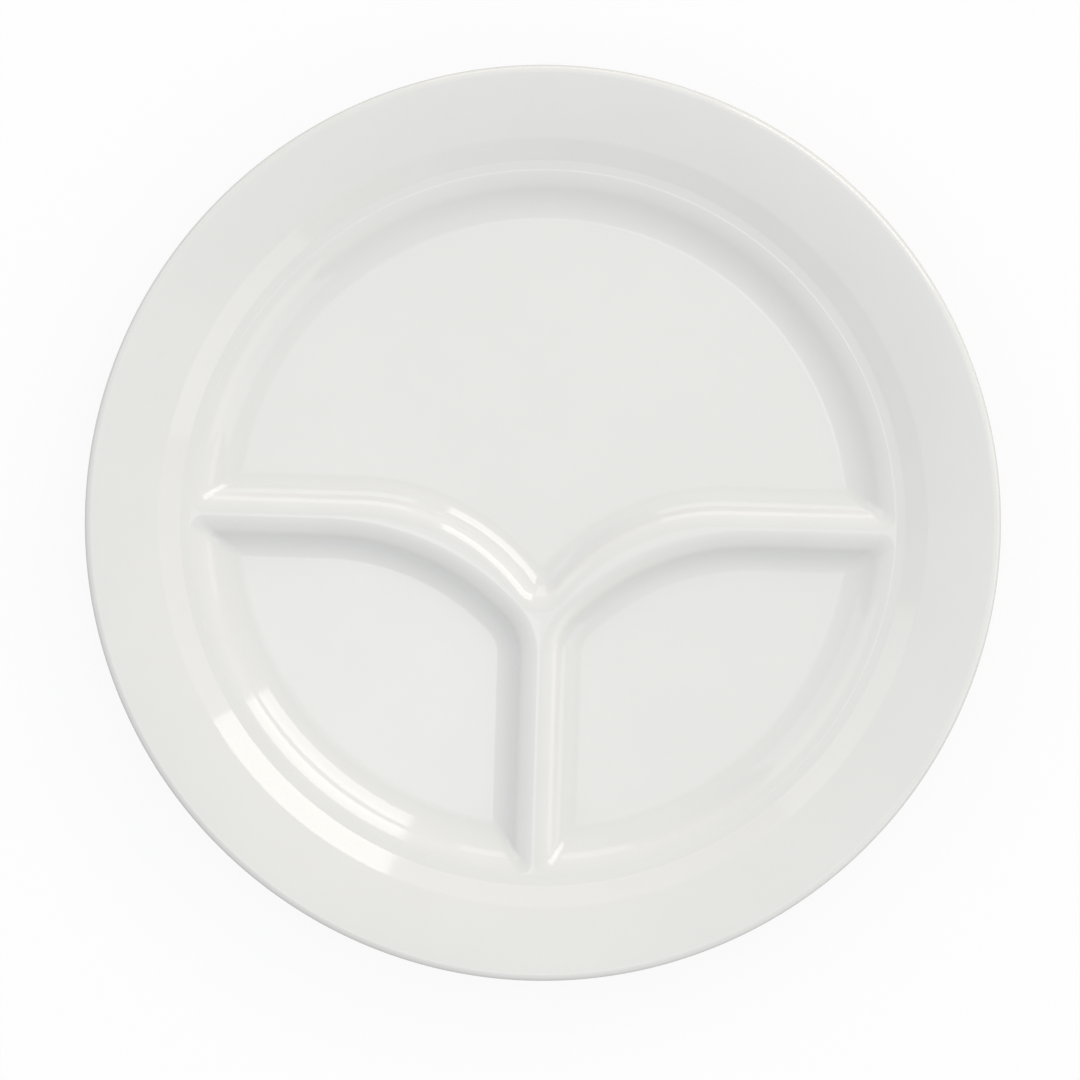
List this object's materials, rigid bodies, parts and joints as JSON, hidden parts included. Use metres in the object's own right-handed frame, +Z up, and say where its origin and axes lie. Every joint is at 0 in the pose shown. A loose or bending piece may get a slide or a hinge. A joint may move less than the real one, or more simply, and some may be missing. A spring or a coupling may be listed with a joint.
{
  "type": "divided compartment plate",
  "caption": "Round glazed china plate with a sloping rim, a ledge round the well, and a raised Y-shaped divider that makes one large and two small compartments.",
  "frame": {"origin": "centre of the plate at the standing face of its foot ring", "axes": "+Z up; the stem of the Y divider points along -Y and its arms along -X and +X, so the large compartment is on the +Y side"},
  "size_m": [0.26, 0.26, 0.0213],
  "materials": {
    "fired_china": "unglazed fired china, dry and slightly rough",
    "glaze": "clear gloss glaze over white china"
  },
  "bodies": {
    "root": {"china_body": "fired_china", "outer_glaze": "glaze", "foot_well_glaze": "glaze"}
  },
  "joints": []
}
